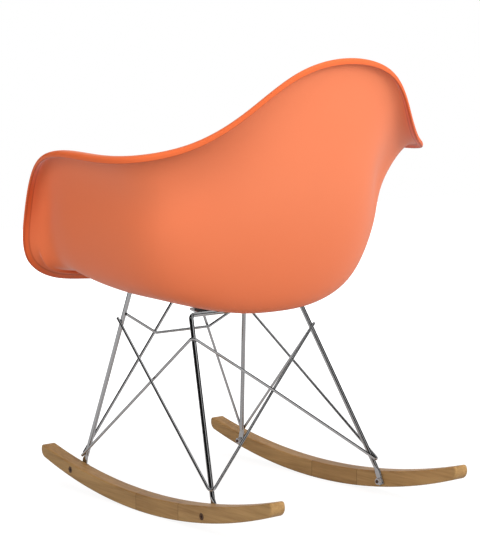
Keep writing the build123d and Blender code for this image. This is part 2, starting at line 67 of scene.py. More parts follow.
@dataclass(frozen=True)
class RestPose:
    """How the chair's build pose is rolled back on its rockers into the row frame.

    A point p goes to R(lean) (p - pivot) + pivot + shift, where R turns about the X axis.
    """

    lean_deg: float = -2.7246
    pivot: Tuple[float, float, float] = (0.0, -67.4, 1170.7)
    shift: Tuple[float, float, float] = (0.0, 54.6774, 0.0)

    def matrix(self) -> np.ndarray:
        """Rotation part of the pose.

        Returns:
            A 3 x 3 rotation matrix.
        """
        turn = math.radians(self.lean_deg)
        c, s = math.cos(turn), math.sin(turn)
        return np.array([[1.0, 0.0, 0.0], [0.0, c, -s], [0.0, s, c]])

    def apply(self, points: np.ndarray) -> np.ndarray:
        """Moves points from the build pose, in mm, to the row frame, in metres.

        Args:
            points: Array (..., 3) in millimetres.

        Returns:
            Array of the same shape in metres.
        """
        pivot = np.array(self.pivot)
        moved = (points - pivot) @ self.matrix().T + pivot + np.array(self.shift)
        return moved * MM

    def along(self, y: Union["Sock", float], z: Union["Sock", float]) -> Union["Sock", float]:
        """How far along the leaning chair a place in the row frame lies: y cos(lean) + z sin(lean)."""
        turn = math.radians(self.lean_deg)
        return y * math.cos(turn) + z * math.sin(turn)


REST = RestPose()


class Sock:
    """A shader socket or a constant, with arithmetic that adds Math nodes."""

    def __init__(self, graph: "Graph", value: Union[bpy.types.NodeSocket, Number]) -> None:
        """Keeps the graph that new Math nodes go into, and the wrapped output socket or number."""
        self.graph = graph
        self.value = value

    def _math(self, operation: str, *others: Union["Sock", Number], clamp: bool = False) -> "Sock":
        """Adds one Math node, whose result is held to 0..1 where clamp is set."""
        settings = {"operation": operation, "use_clamp": clamp}
        return self.graph.node("ShaderNodeMath", settings, dict(enumerate((self, *others))))

    def __add__(self, other: Union["Sock", Number]) -> "Sock":
        """Sum."""
        return self._math("ADD", other)

    __radd__ = __add__

    def __sub__(self, other: Union["Sock", Number]) -> "Sock":
        """Difference."""
        return self._math("SUBTRACT", other)

    def __rsub__(self, other: Number) -> "Sock":
        """Difference with the number first."""
        return Sock(self.graph, other)._math("SUBTRACT", self)

    def __mul__(self, other: Union["Sock", Number]) -> "Sock":
        """Product."""
        return self._math("MULTIPLY", other)

    __rmul__ = __mul__

    def __truediv__(self, other: Union["Sock", Number]) -> "Sock":
        """Quotient."""
        return self._math("DIVIDE", other)

    def __rtruediv__(self, other: Number) -> "Sock":
        """Quotient with the number first."""
        return Sock(self.graph, other)._math("DIVIDE", self)

    def __pow__(self, other: Union["Sock", Number]) -> "Sock":
        """Power."""
        return self._math("POWER", other)

    def __abs__(self) -> "Sock":
        """Absolute value."""
        return self._math("ABSOLUTE")

    def clamped(self) -> "Sock":
        """The value held to 0..1."""
        return self._math("ADD", 0.0, clamp=True)

    def ramp(self, low: float, high: float) -> "Sock":
        """Straight ramp from 0 at low to 1 at high, held to 0..1."""
        return ((self - low) / (high - low)).clamped()


class Graph:
    """A material's node tree with one call for every node but Math."""

    def __init__(self, name: str) -> None:
        """Makes an empty material.

        Args:
            name: The material's name.
        """
        self.material = bpy.data.materials.new(name)
        self.material.use_nodes = True
        self.tree = self.material.node_tree
        self.tree.nodes.clear()

    def feed(
        self,
        socket: bpy.types.NodeSocket,
        value: Union[Sock, bpy.types.NodeSocket, Number, Sequence],
    ) -> None:
        """Links or sets one input.

        Args:
            socket: The input socket.
            value: A wrapped or plain output socket, a number or a tuple.
        """
        if isinstance(value, Sock):
            value = value.value
        if isinstance(value, bpy.types.NodeSocket):
            self.tree.links.new(value, socket)
        else:
            socket.default_value = value

    def node(
        self,
        kind: str,
        settings: Optional[Dict[str, object]] = None,
        inputs: Optional[Dict[Union[str, int], object]] = None,
        output: Union[str, int] = 0,
    ) -> Sock:
        """Adds a node.

        Args:
            kind: Blender's node type.
            settings: Attributes to set on the node.
            inputs: Input sockets by name or index, with links or values.
            output: Which output to return.

        Returns:
            The chosen output.
        """
        made = self.tree.nodes.new(kind)
        for key, value in (settings or {}).items():
            setattr(made, key, value)
        for key, value in (inputs or {}).items():
            self.feed(made.inputs[key], value)
        return Sock(self, made.outputs[output])

    def place(self) -> Sock:
        """Object coordinates in metres."""
        return self.node("ShaderNodeTexCoord", output="Object")

    def axes(self) -> Tuple[Sock, Sock, Sock]:
        """Object coordinates in metres as three numbers."""
        split = self.node("ShaderNodeSeparateXYZ", inputs={0: self.place()})
        return tuple(Sock(self, socket) for socket in split.value.node.outputs)

    def vector(self, x: Union[Sock, Number], y: Union[Sock, Number], z: Union[Sock, Number]) -> Sock:
        """A vector from three numbers."""
        return self.node("ShaderNodeCombineXYZ", inputs={0: x, 1: y, 2: z})

    def noise(self, where: Sock, scale: float, detail: float, rough: float = 0.55) -> Sock:
        """Noise texture about zero.

        Args:
            where: Coordinate vector.
            scale: Cells per unit of the vector.
            detail: Octaves.
            rough: How strongly the fine octaves show.

        Returns:
            The noise value, about -0.5..0.5.
        """
        value = self.node(
            "ShaderNodeTexNoise",
            inputs={"Vector": where, "Scale": scale, "Detail": detail, "Roughness": rough},
            output="Fac",
        )
        return value - NOISE_MIDDLE

    def mix(self, share: Union[Sock, Number], first: object, second: object) -> Sock:
        """Mixes two colours.

        Args:
            share: 0 gives the first colour, 1 the second.
            first: A colour or a socket.
            second: A colour or a socket.

        Returns:
            The mixed colour.
        """
        inputs: Dict[Union[str, int], object] = {0: share}
        for index, colour in zip(MIX_COLOURS, (first, second)):
            inputs[index] = colour if isinstance(colour, Sock) else (*colour, 1.0)
        return self.node("ShaderNodeMix", {"data_type": "RGBA"}, inputs, MIX_RESULT)

    def bump(self, height: Sock, strength: float, depth: float) -> Sock:
        """The normal bent by a height, with the real depth in metres for a height of 1."""
        return self.node("ShaderNodeBump", inputs={"Strength": strength, "Distance": depth, "Height": height})

    def close(self, shader: Sock) -> bpy.types.Material:
        """Ends the graph with a shader.

        Args:
            shader: The shader that makes the surface.

        Returns:
            The finished material.
        """
        out = self.tree.nodes.new("ShaderNodeOutputMaterial")
        self.feed(out.inputs["Surface"], shader)
        return self.material

    def surface(self, constants: Dict[str, object], varying: Dict[str, Sock]) -> bpy.types.Material:
        """Closes the graph with one principled shader of fixed and linked inputs."""
        shader = self.node("ShaderNodeBsdfPrincipled", inputs={**constants, **varying}, output="BSDF")
        return self.close(shader)


@dataclass(frozen=True)
class SatinPlastic:
    """Moulded plastic with a faint orange-peel grain, a richer thin rim and a painted shade line inside it.

    The mesh attribute "rim" and the attribute of the shade line, both 0..1, say where they run: the rim's
    richer orange is painted light shining through the thin lip, and the line is painted shade under the lip's
    overhang.
    The upper back is painted a little paler, a painted sheen: the share grows with z + y times the slope.
    """

    name: str
    base: Colour
    # Paler tone: painted sheen on the upper back, plus a random cloud of tone
    tone_and_sheen: Colour
    # Richer orange: painted light shining through the thin rim
    rich: Colour
    # Darkest orange: painted shade under the lip's overhang
    lip_shade_colour: Colour
    # Where the painted sheen on the upper back lies and how strongly it shows
    sheen_slope: float = 0.8
    sheen_edges: Tuple[float, float] = (0.36, 0.72)
    sheen_share: float = 0.85
    # Shares of the rim's painted orange and of the painted shade under the lip
    rim_share: float = 0.8
    lip_shade_share: float = 0.7
    cloud_scale: float = 6.0
    cloud_share: float = 0.3
    grain_scale: float = 1400.0
    grain_bump: float = 0.1
    grain_depth: float = 0.00004
    detail: float = 2.0
    roughness: float = 0.4
    cloud_rough: float = 0.06
    grain_rough: float = 0.05
    ior: float = 1.46
    specular: float = 0.15

    def build(self) -> bpy.types.Material:
        """Makes the material.

        Returns:
            The finished material.
        """
        g = Graph(self.name)
        where = g.place()
        cloud = g.noise(where, self.cloud_scale, self.detail)
        grain = g.noise(where, self.grain_scale, self.detail)
        rim = g.node("ShaderNodeAttribute", {"attribute_name": "rim"}, output="Fac")
        lip_shade = g.node("ShaderNodeAttribute", {"attribute_name": "lip_shade"}, output="Fac")
        _, y, z = g.axes()
        # Painted sheen: the upper back is painted paler, with a random cloud of the same tone on top
        sheen = (z + y * self.sheen_slope).ramp(*self.sheen_edges)
        tone_and_sheen = (sheen * self.sheen_share + cloud * self.cloud_share).clamped()
        colour = g.mix(tone_and_sheen, self.base, self.tone_and_sheen)
        # Painted light: the rim's richer orange stands in for light shining through the thin lip
        colour = g.mix(rim * self.rim_share, colour, self.rich)
        # Painted shade: a dark line under the lip's overhang and on the lip's cut edge
        colour = g.mix(lip_shade * self.lip_shade_share, colour, self.lip_shade_colour)
        rough = self.roughness + cloud * self.cloud_rough + grain * self.grain_rough
        normal = g.bump(grain, self.grain_bump, self.grain_depth)
        return g.surface(
            {"IOR": self.ior, "Specular IOR Level": self.specular},
            {"Base Color": colour, "Roughness": rough, "Normal": normal},
        )


@dataclass(frozen=True)
class PolishedMetal:
    """Plated or bare metal with faint hairline wear."""

    name: str
    tint: Colour
    dull: Colour
    roughness: float
    scratch: float = 0.03
    metallic: float = 1.0
    haze_scale: float = 40.0
    haze_detail: float = 3.0
    haze_bias: float = 0.2
    haze_share: float = 0.6
    hair_scale: float = 900.0
    hair_detail: float = 1.0

    def build(self) -> bpy.types.Material:
        """Makes the material.

        Returns:
            The finished material.
        """
        g = Graph(self.name)
        where = g.place()
        haze = g.noise(where, self.haze_scale, self.haze_detail)
        hair = g.noise(where, self.hair_scale, self.hair_detail)
        colour = g.mix((haze + self.haze_bias) * self.haze_share, self.tint, self.dull)
        rough = (self.roughness + haze * self.scratch + hair * self.scratch).clamped()
        return g.surface({"Metallic": self.metallic}, {"Base Color": colour, "Roughness": rough})


@dataclass(frozen=True)
class LacqueredWood:
    """Light brown hardwood with the grain along the rocker and a dark glue line at each joint.

    The figure, the streaks and the pores are noises stretched along Y: n(x a, y b, z a) with a, the cells
    per metre across the grain, much larger than b along it. A glue line is the narrow band about a joint
    plane, |along(y, z) - d| < glue_edges, with along as in RestPose.
    """

    name: str
    light: Colour
    dark: Colour
    seed: float
    joints: Tuple[float, ...]
    figure: Tuple[float, float] = (55.0, 4.0)
    streaks: Tuple[float, float] = (190.0, 9.0)
    pores: Tuple[float, float] = (420.0, 14.0)
    details: Tuple[float, float, float] = (4.0, 3.0, 2.0)
    crispness: float = 0.6
    figure_bias: float = 0.2
    weights: Tuple[float, float, float] = (1.7, 1.5, 0.5)
    glue_edges: Tuple[float, float] = (0.0003, 0.0009)
    glue_share: float = 0.65
    glue_dark: float = 0.3
    roughness: float = 0.45
    pore_rough: float = 0.16
    pore_bump: float = 0.25
    pore_depth: float = 0.00012
    ior: float = 1.5
    specular: float = 0.2

    def build(self) -> bpy.types.Material:
        """Makes the material.

        Returns:
            The finished material.
        """
        g = Graph(self.name)
        x, y, z = g.axes()
        across, along = self.figure
        broad = g.vector(x * across + self.seed, y * along + self.seed, z * across)
        across, along = self.streaks
        middling = g.vector(x * across + self.seed, y * along, z * across - self.seed)
        across, along = self.pores
        fine = g.vector(x * across, y * along + self.seed, z * across)
        figure, streaks, pores = [
            g.noise(where, 1.0, detail, self.crispness)
            for where, detail in zip((broad, middling, fine), self.details)
        ]
        strong, medium, faint = self.weights
        tone = (figure + self.figure_bias) * strong + streaks * medium + pores * faint
        wood = g.mix(tone.clamped(), self.light, self.dark)
        glue = tuple(part * self.glue_dark for part in self.dark)
        for joint in self.joints:
            line = 1.0 - abs(REST.along(y, z) - joint).ramp(*self.glue_edges)
            wood = g.mix(line * self.glue_share, wood, glue)
        rough = self.roughness + pores * self.pore_rough
        normal = g.bump(pores, self.pore_bump, self.pore_depth)
        return g.surface(
            {"IOR": self.ior, "Specular IOR Level": self.specular},
            {"Base Color": wood, "Roughness": rough, "Normal": normal},
        )


@dataclass(frozen=True)
class BlackRubber:
    """Matt rubber with a slight bloom."""

    name: str
    base: Colour
    bloom: Colour
    dust_scale: float = 160.0
    dust_detail: float = 4.0
    dust_bias: float = 0.15
    dust_share: float = 1.2
    roughness: float = 0.7
    dust_rough: float = 0.2
    specular: float = 0.3

    def build(self) -> bpy.types.Material:
        """Makes the material.

        Returns:
            The finished material.
        """
        g = Graph(self.name)
        dust = g.noise(g.place(), self.dust_scale, self.dust_detail)
        colour = g.mix((dust + self.dust_bias) * self.dust_share, self.base, self.bloom)
        rough = self.roughness + dust * self.dust_rough
        return g.surface({"Specular IOR Level": self.specular}, {"Base Color": colour, "Roughness": rough})


Finish = Union[SatinPlastic, PolishedMetal, LacqueredWood, BlackRubber]


def spline_solve(knots: np.ndarray, values: np.ndarray, ends: Optional[np.ndarray]) -> np.ndarray:
    """Slopes of the C2 cubic spline through values at knots.

    The slopes m satisfy, at each inner knot, m[i-1]/h[i-1] + 2 m[i] (1/h[i-1] + 1/h[i]) + m[i+1]/h[i]
    = 3 (d[i-1]/h[i-1] + d[i]/h[i]) with d the divided differences. The end slopes are given, or the
    second derivative at the ends is zero.

    Args:
        knots: Increasing array (n,).
        values: Array (n, ...) to interpolate.
        ends: Array (2, ...) of end slopes, or None for natural ends.

    Returns:
        Array of slopes, shaped as values.
    """
    count = len(knots)
    step = np.diff(knots)
    flat = values.reshape(count, -1)
    chord = np.diff(flat, axis=0) / step[:, None]
    matrix = np.zeros((count, count))
    right = np.zeros_like(flat)
    inner = np.arange(1, count - 1)
    matrix[inner, inner - 1] = 1.0 / step[:-1]
    matrix[inner, inner] = 2.0 * (1.0 / step[:-1] + 1.0 / step[1:])
    matrix[inner, inner + 1] = 1.0 / step[1:]
    right[1:-1] = 3.0 * (chord[:-1] / step[:-1, None] + chord[1:] / step[1:, None])
    if ends is None:
        matrix[0, :2] = (2.0, 1.0)
        matrix[-1, -2:] = (1.0, 2.0)
        right[0] = 3.0 * chord[0]
        right[-1] = 3.0 * chord[-1]
    else:
        matrix[0, 0] = 1.0
        matrix[-1, -1] = 1.0
        right[0], right[-1] = ends.reshape(2, -1)
    return np.linalg.solve(matrix, right).reshape(values.shape)


def spline_at(
    knots: np.ndarray, values: np.ndarray, where: np.ndarray, ends: Optional[np.ndarray] = None
) -> np.ndarray:
    """Cubic Hermite form of the spline, evaluated at many places.

    With t in 0..1 across a span of length h: p = (2t^3 - 3t^2 + 1) p0 + (t^3 - 2t^2 + t) h m0
    + (3t^2 - 2t^3) p1 + (t^3 - t^2) h m1.

    Args:
        knots: Increasing array (n,).
        values: Array (n, ...).
        where: Places to evaluate, within the knots.
        ends: End slopes, or None for natural ends.

    Returns:
        Array (len(where), ...).
    """
    slope = spline_solve(knots, values, ends)
    span = np.clip(np.searchsorted(knots, where, side="right") - 1, 0, len(knots) - 2)
    width = (knots[span + 1] - knots[span]).reshape(-1, *[1] * (values.ndim - 1))
    t = (where - knots[span]).reshape(width.shape) / width
    return (
        (2 * t**3 - 3 * t**2 + 1) * values[span]
        + (t**3 - 2 * t**2 + t) * width * slope[span]
        + (3 * t**2 - 2 * t**3) * values[span + 1]
        + (t**3 - t**2) * width * slope[span + 1]
    )


def grid_faces(rows: int, columns: int) -> np.ndarray:
    """Quads of a grid that closes on itself along its columns.

    Args:
        rows: Number of rows of points.
        columns: Number of points round each row.

    Returns:
        Integer array (n, 4).
    """
    index = np.arange(rows * columns).reshape(rows, columns)
    on = np.roll(index, -1, axis=1)
    quads = np.stack([index[:-1], on[:-1], on[1:], index[1:]], axis=-1)
    return quads.reshape(-1, 4)


def make_mesh(
    name: str, points: np.ndarray, quads: np.ndarray, fans: Sequence[np.ndarray] = ()
) -> bpy.types.Object:
    """Makes a smooth-shaded mesh object.

    Args:
        name: Object name.
        points: Array (n, 3) in metres.
        quads: Integer array (m, 4).
        fans: Further arrays of triangles (k, 3).

    Returns:
        The linked object.
    """
    mesh = bpy.data.meshes.new(name)
    faces = [quads, *fans]
    loops = np.concatenate([part.ravel() for part in faces]).astype(np.int32)
    sizes = np.concatenate([np.full(*part.shape) for part in faces]).astype(np.int32)
    starts = np.concatenate([[0], np.cumsum(sizes)[:-1]]).astype(np.int32)
    mesh.vertices.add(len(points))
    mesh.vertices.foreach_set("co", points.astype(np.float32).ravel())
    mesh.loops.add(len(loops))
    mesh.loops.foreach_set("vertex_index", loops)
    mesh.polygons.add(len(sizes))
    mesh.polygons.foreach_set("loop_start", starts)
    mesh.polygons.foreach_set("use_smooth", np.ones(len(sizes), dtype=bool))
    mesh.update(calc_edges=True)
    mesh.validate()
    made = bpy.data.objects.new(name, mesh)
    bpy.context.scene.collection.objects.link(made)
    return made


def capped(rows: np.ndarray) -> Tuple[np.ndarray, np.ndarray, np.ndarray]:
    """A closed grid whose first and last rows are each filled by a fan to their middle.

    Args:
        rows: Array (rows, columns, 3), each row a closed ring.

    Returns:
        Points (n, 3), quads (m, 4) and fan triangles (k, 3).
    """
    count, columns = rows.shape[:2]
    hub = count * columns
    first = np.arange(columns)
    last = first + hub - columns
    points = np.concatenate([rows.reshape(-1, 3), rows[:1].mean(axis=1), rows[-1:].mean(axis=1)])
    low = np.stack([np.roll(first, -1), first, np.full(columns, hub)], axis=-1)
    high = np.stack([last, np.roll(last, -1), np.full(columns, hub + 1)], axis=-1)
    return points, grid_faces(count, columns), np.concatenate([low, high])


@dataclass(frozen=True)
class Boss:
    """A round boss under the shell that a rubber mount is bonded to.

    Circles p = o + r (cos a X + sin a B) + h N run up the profile (r, h), where o is the mount point on
    top of the rubber, B the tilted mount plane's backward direction and N its normal.
    """

    x: float
    bar: Tuple[float, float]
    inset: float
    height: float
    radius: float = 17.5
    edge: float = 0.6
    edge_share: float = 0.3
    core: float = 1.0
    tilt: float = 0.14886
    rise: float = 4.5
    columns: int = 48

    def rows(self) -> np.ndarray:
        """The boss's circles.

        Returns:
            Array (rows, columns, 3) in millimetres.
        """
        length = math.hypot(1.0, self.tilt)
        normal = np.array([0.0, self.tilt, 1.0]) / length
        back = np.array([0.0, 1.0, -self.tilt]) / length
        centre = np.array([self.x, *self.bar]) + back * self.inset + normal * self.rise
        r, e = self.radius, self.edge
        cut = self.edge_share * e
        profile = np.array([[self.core, 0.0], [r - e, 0.0], [r - cut, cut], [r, e], [r, self.height]])
        turn = np.arange(self.columns) * (2.0 * math.pi / self.columns)
        circle = np.cos(turn)[:, None] * np.array([1.0, 0.0, 0.0]) + np.sin(turn)[:, None] * back
        return centre + profile[:, None, :1] * circle + profile[:, None, 1:] * normal


@dataclass(frozen=True)
class BowlRing:
    """A superellipse ring of the bowl.

    x = a |sin p|^(2/n), y = yc -/+ b |cos p|^(2/n), z = zs + (ze - zs) cos^2 p, with the front
    values of b, n and ze where cos p > 0 and the back values elsewhere.
    """

    centre: float
    wide: float
    front: float
    back: float
    front_square: float
    back_square: float
    front_z: float
    side_z: float
    back_z: float

    def points(self, angle: np.ndarray) -> np.ndarray:
        """The ring's points.

        Args:
            angle: Array (n,) of station angles.

        Returns:
            Array (n, 3) in millimetres.
        """
        ahead = np.cos(angle) > 0
        power = 2.0 / np.where(ahead, self.front_square, self.back_square)
        along = np.abs(np.cos(angle)) ** power
        x = self.wide * np.abs(np.sin(angle)) ** power
        y = self.centre + np.where(ahead, -self.front, self.back) * along
        z = self.side_z + (np.where(ahead, self.front_z, self.back_z) - self.side_z) * np.cos(angle) ** 2
        return np.stack([x, y, z], axis=-1)


@dataclass
class SeatShell:
    """The moulded armchair shell as one closed surface over a grid of rings and ribs.

    Half rings of stations run from the seat front round the left arm to the back top. Each ring is a
    cubic spline round the chair, each rib a cubic spline up the wall, and the right half is the mirror.
    """

    thick: float = 4.5
    lip_drop: float = 4.2
    lip_thick: float = 4.4
    lip_tuck: float = 0.5
    lip_bulge: float = 1.2
    crest_out: float = 0.6
    crest_down: float = 0.8
    wall_out: float = 0.6
    wall_corner: float = 0.8
    wall_up: float = 0.5
    rim: Tuple[Tuple[float, float, float], ...] = (
        (0, -337, 349.4), (114.4, -331.8, 356), (213.2, -307.8, 375), (257.9, -288.1, 408),
        (276.6, -260, 481.5), (295.4, -188, 573), (309.9, -112.3, 595.9), (315.1, 5.2, 597),
        (294.3, 117.5, 600.1), (240.2, 171.6, 615.7), (169.5, 227.8, 664.6), (89.4, 271.4, 730.1),
        (0, 280.8, 748.8),
    )
    section_keys: Tuple[int, ...] = (0, 1, 3, 5, 8, 9, 11, 12)
    crest_in: Tuple[float, ...] = (20.8, 20.8, 18.7, 17.7, 18.7, 17.7, 11.4, 10.4)
    crest_up: Tuple[float, ...] = (12.5, 12.5, 6.2, 5.2, 6.2, 5.2, 3.1, 3.1)
    top_in: Tuple[float, ...] = (43.7, 43.7, 30, 36, 56.2, 54.1, 31.2, 27)
    top_down: Tuple[float, ...] = (-15.6, -13.5, 4, 22, 36.4, 35.4, 43.7, 45.8)
    seat: BowlRing = BowlRing(-46.8, 156, 135.2, 114.4, 2.3, 2.3, 369.2, 353.6, 332.8)
    crease: BowlRing = BowlRing(-52, 222, 212, 173.7, 5, 2.6, 371.3, 395.2, 366.1)
    rim_plan: Tuple[float, ...] = (-31.2, 315.1, 305.8, 312, 3.6, 2.4)
    flat_plan: Tuple[float, ...] = (-41.6, 78, 67.6, 62.4)
    flat_z: float = 342.8
    flat_slope: float = 0.167
    bosses: Tuple[Boss, ...] = (
        Boss(72.0, (-163.6, 353.6), 25.0, 7.0), Boss(-72.0, (-163.6, 353.6), 25.0, 7.0),
        Boss(72.0, (7.7, 328.1), -24.0, 4.5), Boss(-72.0, (7.7, 328.1), -24.0, 4.5),
    )
    # Where the rim's painted orange starts, and the centre and width of the painted shade line under the lip,
    # in rings
    rim_fade: Tuple[float, float] = (5.45, 5.65)
    lip_shade_at: float = 5.42
    lip_shade_wide: float = 0.12
    round_steps: int = 14
    rib_steps: int = 12
    lip_steps: int = 5

    def station_angles(self) -> np.ndarray:
        """Where each rim station sits round the bowl.

        Returns:
            Array of angles, 0 at the front and pi at the back.
        """
        centre, wide, front, back, front_square, back_square = self.rim_plan
        rim = np.array(self.rim, dtype=float)
        y = rim[:, 1] - centre
        ahead = y < 0
        power = np.where(ahead, front_square, back_square) / 2.0
        across = np.abs(rim[:, 0] / wide) ** power
        along = np.abs(y / np.where(ahead, front, back)) ** power
        return np.arctan2(across, np.where(ahead, along, -along))

    def mirrored_ends(self, half: np.ndarray) -> np.ndarray:
        """A half ring (n, 3) with one mirrored neighbour added at each end."""
        flip = np.array([-1.0, 1.0, 1.0])
        return np.concatenate([half[1:2] * flip, half, half[-2:-1] * flip])

    def inward(self, ring: np.ndarray, below: np.ndarray, above: np.ndarray) -> np.ndarray:
        """A half ring moved through the wall, square to the surface.

        Args:
            ring: The ring itself, (n, 3).
            below: The ring below it.
            above: The ring above it.

        Returns:
            The moved ring.
        """
        wide = self.mirrored_ends(ring)
        square = np.cross(above - below, wide[2:] - wide[:-2])
        return ring + square / np.linalg.norm(square, axis=1, keepdims=True) * self.thick

    def rings(self) -> Tuple[List[np.ndarray], List[np.ndarray]]:
        """Half rings of the outside and of the upper side.

        Returns:
            Two lists of (n, 3) arrays, each from the bottom to the lip.
        """
        angle = self.station_angles()
        rim = np.array(self.rim, dtype=float)
        wide = self.mirrored_ends(rim)
        along = wide[2:] - wide[:-2]
        out = np.stack([along[:, 1], -along[:, 0], np.zeros(len(rim))], axis=-1)
        out /= np.linalg.norm(out, axis=1, keepdims=True)
        up = np.array([0.0, 0.0, 1.0])
        where = np.arange(len(rim))
        crest_in, crest_up, top_in, top_down = [
            np.interp(where, self.section_keys, part)[:, None]
            for part in (self.crest_in, self.crest_up, self.top_in, self.top_down)
        ]
        crest = rim - out * crest_in + up * crest_up
        under = crest + (out * self.crest_out - up * self.crest_down) * self.thick
        wall_top = rim - out * top_in - up * top_down
        lip_out = rim - out * self.lip_tuck - up * self.lip_drop
        lip_in = lip_out - out * self.lip_thick
        crease = self.crease.points(angle)
        share = self.wall_out + (self.wall_corner - self.wall_out) * np.maximum(np.sin(2.0 * angle), 0.0)
        shares = np.stack([share, share, np.full_like(share, self.wall_up)], axis=-1)
        wall = crease + (wall_top - crease) * shares
        yc, half_wide, front, back = self.flat_plan
        y = yc - np.where(np.cos(angle) > 0, front, back) * np.cos(angle)
        flat = np.stack([half_wide * np.sin(angle), y, self.flat_z - self.flat_slope * (y - yc)], axis=-1)
        outside = [flat, self.seat.points(angle), crease, wall, wall_top, under, lip_in]
        above = outside[2:5] + [crest]
        inside = [self.inward(ring, low, high) for low, ring, high in zip(outside, outside[1:5], above)]
        through = np.array([0.0, self.flat_slope, 1.0])
        floor = flat + through / np.linalg.norm(through) * self.thick
        return outside, [floor, *inside, crest, rim, lip_out]

    def whole_ring(self, half: np.ndarray) -> np.ndarray:
        """A fine closed ring from a half ring of stations.

        Args:
            half: Array (n, 3) of stations.

        Returns:
            Array (2 (n - 1) round_steps, 3), closed and mirror-symmetric.
        """
        chord = np.linalg.norm(np.diff(half, axis=0), axis=1)
        knots = np.concatenate([[0.0], np.cumsum(chord)])
        share = np.arange((len(half) - 1) * self.round_steps + 1) / self.round_steps
        where = np.interp(share, np.arange(len(half)), knots)
        ends = np.array([[1.0, 0.0, 0.0], [-1.0, 0.0, 0.0]])
        fine = spline_at(knots, half, where, ends)
        return np.concatenate([fine, fine[-2:0:-1] * np.array([-1.0, 1.0, 1.0])])

    def sheet(self, rings: List[np.ndarray]) -> np.ndarray:
        """A fine grid through the rings.

        Args:
            rings: Half rings from the bottom up.

        Returns:
            Array (rows, columns, 3) in millimetres.
        """
        coarse = np.array([self.whole_ring(ring) for ring in rings])
        chord = np.linalg.norm(np.diff(coarse, axis=0), axis=2).mean(axis=1)
        knots = np.concatenate([[0.0], np.cumsum(chord)])
        share = np.arange((len(rings) - 1) * self.rib_steps + 1) / self.rib_steps
        where = np.interp(share, np.arange(len(rings)), knots)
        return spline_at(knots, coarse, where)

    def lip_round(self, low: np.ndarray, high: np.ndarray) -> np.ndarray:
        """Rows that round the cut edge of the lip: p(t) = low + (high - low) t - z lip_bulge 4 t (1 - t).

        Args:
            low: Inner edge of the lip, (n, 3).
            high: Outer edge of the lip, (n, 3).

        Returns:
            Array (lip_steps - 1, n, 3).
        """
        t = (np.arange(1, self.lip_steps) / self.lip_steps)[:, None, None]
        drop = np.array([0.0, 0.0, -1.0]) * self.lip_bulge
        return low + (high - low) * t + drop * 4.0 * t * (1.0 - t)

    def rim_marks(self, outside: int, edge: int, upper: int) -> Tuple[np.ndarray, np.ndarray]:
        """How far each row of the shell belongs to the rim and to the painted shade line inside it.

        With v the row's place in units of rings, the rim fades in over rim_fade of v past the crest, and the
        painted shade line under the lip is the bell exp(-((v - c) / w)^2), with c and w its centre and width,
        on the outside, and full on the lip's cut edge.

        Args:
            outside: Number of rows on the outside.
            edge: Number of rows round the lip's cut edge.
            upper: Number of rows on the upper side.

        Returns:
            Two arrays over all rows, 0..1.
        """
        low = np.arange(outside) / self.rib_steps
        high = np.arange(upper)[::-1] / self.rib_steps
        start, stop = self.rim_fade
        rim = [np.clip((v - start) / (stop - start), 0.0, 1.0) for v in (low, high)]
        bell = np.exp(-(((low - self.lip_shade_at) / self.lip_shade_wide) ** 2))
        return (
            np.concatenate([rim[0], np.ones(edge), rim[1]]),
            np.concatenate([bell, np.ones(edge), np.zeros(upper)]),
        )

    def mark(self, shell: bpy.types.Object, name: str, rows: np.ndarray, columns: int) -> None:
        """Stores one number per row of the shell as a point attribute; the bosses get 0.

        Args:
            shell: The shell object.
            name: The attribute's name.
            rows: Array (rows,).
            columns: Points round each row.
        """
        values = np.zeros(len(shell.data.vertices), dtype=np.float32)
        values[: len(rows) * columns] = np.repeat(rows, columns)
        shell.data.attributes.new(name, "FLOAT", "POINT").data.foreach_set("value", values)

    def build(self, finish: Finish) -> bpy.types.Object:
        """Makes the shell and lets it stand for the CAD shell.

        Args:
            finish: The shell's finish.

        Returns:
            The shell object.
        """
        outside, upper = [self.sheet(rings) for rings in self.rings()]
        edge = self.lip_round(outside[-1], upper[-1])
        grids = [np.concatenate([outside, edge, upper[::-1]]), *[boss.rows() for boss in self.bosses]]
        pieces = [capped(rows) for rows in grids]
        starts = np.cumsum([0] + [len(points) for points, _, _ in pieces[:-1]])
        points = np.concatenate([part[0] for part in pieces])
        quads = np.concatenate([part[1] + start for part, start in zip(pieces, starts)])
        fans = [part[2] + start for part, start in zip(pieces, starts)]
        shell = make_mesh("moulded_shell", REST.apply(points), quads, fans)
        # Marks for the rim's painted orange and for the painted shade under the lip
        rim, lip_shade = self.rim_marks(len(outside), len(edge), len(upper))
        self.mark(shell, "rim", rim, outside.shape[1])
        self.mark(shell, "lip_shade", lip_shade, outside.shape[1])
        shell.data.materials.append(finish.build())
        shell.visible_glossy = False
        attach(shell, "root")
        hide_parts("seat_shell")
        LOG.info("seat_shell of %d points in %s", len(points), finish.name)
        return shell


@dataclass(frozen=True)
class DressedNodes:
    """CAD nodes of one material slot that keep their own shape and get a finish."""

    slot: Slot
    names: Tuple[str, ...]
    finish: Finish

    def dress(self) -> None:
        """Puts the finish on every node."""
        material = self.finish.build()
        for name in self.names:
            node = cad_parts[name]
            node.data.materials.clear()
            node.data.materials.append(material)
            LOG.info("%s (%s) in %s", name, self.slot.value, self.finish.name)


